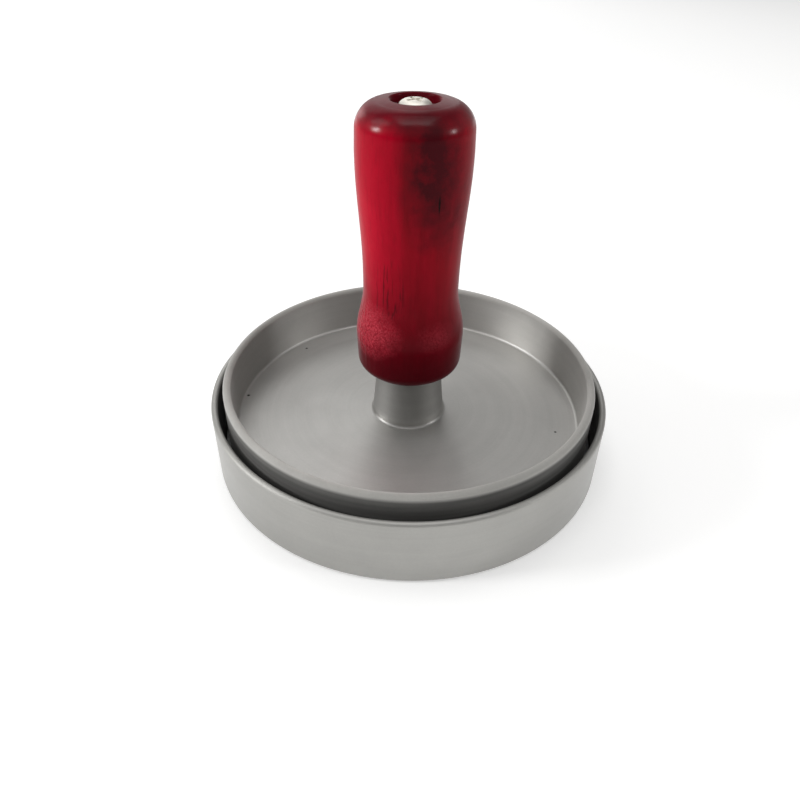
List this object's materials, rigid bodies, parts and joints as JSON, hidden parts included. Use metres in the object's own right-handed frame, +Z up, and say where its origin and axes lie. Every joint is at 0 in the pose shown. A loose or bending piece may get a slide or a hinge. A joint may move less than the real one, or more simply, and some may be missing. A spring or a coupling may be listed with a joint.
{
  "type": "patty press",
  "caption": "Round hand press for patties: a shallow metal mould with a lift-out base disc, and a dished press plate on a turned wooden handle.",
  "frame": {"origin": "centre of the mould's lower face, on the surface it stands on", "axes": "+Z up along the axis that every piece is turned about, from the mould to the top of the handle; X and Y are level and alike"},
  "size_m": [0.0964, 0.0964, 0.084],
  "materials": {
    "cast_aluminium": "satin, turned",
    "disc_aluminium": "satin, turned",
    "lacquered_wood": "gloss red lacquer over turned wood",
    "plated_steel": "zinc plated"
  },
  "bodies": {
    "mould": {"mould_ring": "cast_aluminium"},
    "release_disc": {"base_plate": "disc_aluminium"},
    "press": {"press_plate": "cast_aluminium", "handle": "lacquered_wood", "handle_screw": "plated_steel", "spring_washer": "plated_steel", "flat_washer": "plated_steel"}
  },
  "joints": [
    {"name": "disc_lift", "type": "slide", "parent": "mould", "child": "release_disc", "axis": [0, 0, 1], "range_m": [0, 0.03]},
    {"name": "press_lift", "type": "slide", "parent": "release_disc", "child": "press", "axis": [0, 0, 1], "range_m": [0, 0.05]}
  ]
}
